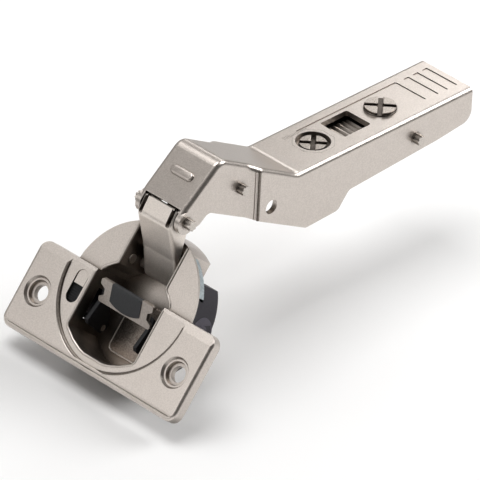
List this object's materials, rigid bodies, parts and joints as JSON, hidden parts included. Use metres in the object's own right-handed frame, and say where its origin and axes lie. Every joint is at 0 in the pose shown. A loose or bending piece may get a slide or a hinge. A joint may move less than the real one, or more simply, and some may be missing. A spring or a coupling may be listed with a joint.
{
  "type": "concealed cup hinge",
  "caption": "Concealed cabinet hinge with an angled clip-on arm, folding links, screw-on cup with built-in dampers, shown fully open.",
  "frame": {"origin": "centre of the clip seat, on the adapter's bottom edges, under the middle of the arm's window", "axes": "+X towards the arm's rear end, +Y across the arm, +Z from the mounting plate's seat up through the arm's top"},
  "size_m": [0.1163, 0.0566, 0.0505],
  "materials": {
    "nickel_plated_steel": "satin nickel plate",
    "pin_steel": "bright turned steel",
    "spring_steel": "oiled spring steel",
    "screw_nickel": "bright nickel plate",
    "zinc_casting": "satin zinc casting",
    "dark_plastic": "fine grained"
  },
  "bodies": {
    "adapter": {"adapter": "nickel_plated_steel", "latch_pin": "pin_steel", "latch_spring": "spring_steel"},
    "release_latch": {"release_latch": "zinc_casting"},
    "rear_pin": {"rear_pin": "pin_steel"},
    "arm": {"arm_channel": "nickel_plated_steel", "side_bush": "nickel_plated_steel", "outer_link_pin": "pin_steel", "inner_link_pin": "pin_steel", "closing_spring": "spring_steel"},
    "side_screw": {"side_screw": "screw_nickel"},
    "depth_cam": {"depth_cam": "screw_nickel"},
    "outer_link": {"outer_link": "nickel_plated_steel"},
    "cup": {"cup_shell": "nickel_plated_steel", "outer_cup_pin": "pin_steel", "inner_cup_pin": "pin_steel", "lever_rivet_left": "pin_steel", "lever_rivet_right": "pin_steel", "damper_housing_left": "dark_plastic", "damper_housing_right": "dark_plastic", "damper_cylinder_left": "zinc_casting", "damper_cylinder_right": "zinc_casting", "retaining_strip_left": "zinc_casting", "retaining_strip_right": "zinc_casting"},
    "inner_link": {"inner_link": "nickel_plated_steel"},
    "damper_lever": {"lever_bracket": "zinc_casting", "lever_pad": "dark_plastic", "lever_cheek_left": "dark_plastic", "lever_cheek_right": "dark_plastic"},
    "damper_rods": {"damper_rod_left": "pin_steel", "damper_rod_right": "pin_steel"},
    "switch": {"switch_slider": "dark_plastic"}
  },
  "joints": [
    {"name": "depth_slide", "type": "slide", "parent": "adapter", "child": "rear_pin", "axis": [1, 0, 0], "range_m": [-0.0015, 0.0015]},
    {"name": "side_tilt", "type": "hinge", "parent": "rear_pin", "child": "arm", "pos_m": [0.0153, 0, 0.0034], "axis": [0, 1, 0], "range_deg": [-1.5, 1.5]},
    {"name": "side_screw_turn", "type": "hinge", "parent": "arm", "child": "side_screw", "pos_m": [-0.011, -0.0004, 0.0095], "axis": [0, 0, 1], "range_deg": [-311, 311]},
    {"name": "depth_cam_turn", "type": "hinge", "parent": "arm", "child": "depth_cam", "pos_m": [0.0112, -0.0004, 0.0095], "axis": [0, 0, 1], "range_deg": [-49, 49]},
    {"name": "release_latch_turn", "type": "hinge", "parent": "adapter", "child": "release_latch", "pos_m": [0.0258, 0, 0.0031], "axis": [0, 1, 0], "range_deg": [0, 12], "stiffness_Nm_per_rad": 0.2, "springref_deg": -11.46, "deforming": ["latch_spring"]},
    {"name": "outer_link_turn", "type": "hinge", "parent": "arm", "child": "outer_link", "pos_m": [-0.0584, 0, 0.00995], "axis": [0, -1, 0], "range_deg": [0, 15]},
    {"name": "cup_fold", "type": "hinge", "parent": "outer_link", "child": "cup", "pos_m": [-0.0574, 0, -0.0079], "axis": [0, 1, 0], "range_deg": [0, 110]},
    {"name": "inner_link_turn", "type": "hinge", "parent": "cup", "child": "inner_link", "pos_m": [-0.05678, 0, -0.00294], "axis": [0, -1, 0], "range_deg": [0, 123.78]},
    {"name": "damper_lever_turn", "type": "hinge", "parent": "cup", "child": "damper_lever", "pos_m": [-0.06963, 0, -0.02078], "axis": [0, 1, 0], "range_deg": [0, 51.01]},
    {"name": "damper_rod_slide", "type": "slide", "parent": "cup", "child": "damper_rods", "axis": [0.6245, 0, 0.781], "range_m": [0, 0.0025]},
    {"name": "switch_slide", "type": "slide", "parent": "cup", "child": "switch", "axis": [0.6245, 0, 0.781], "range_m": [0, 0.002]}
  ],
  "couplings": [
    {"joint": "outer_link_turn", "follows": "cup_fold", "ratio": 0.13636},
    {"joint": "inner_link_turn", "follows": "cup_fold", "ratio": 1.1252},
    {"joint": "damper_lever_turn", "follows": "cup_fold", "ratio": 0.46364},
    {"joint": "damper_rod_slide", "follows": "cup_fold", "m_per_rad": 0.0013022},
    {"joint": "side_screw_turn", "follows": "side_tilt", "ratio": 206.7},
    {"joint": "depth_cam_turn", "follows": "depth_slide", "rad_per_m": 565.5}
  ]
}
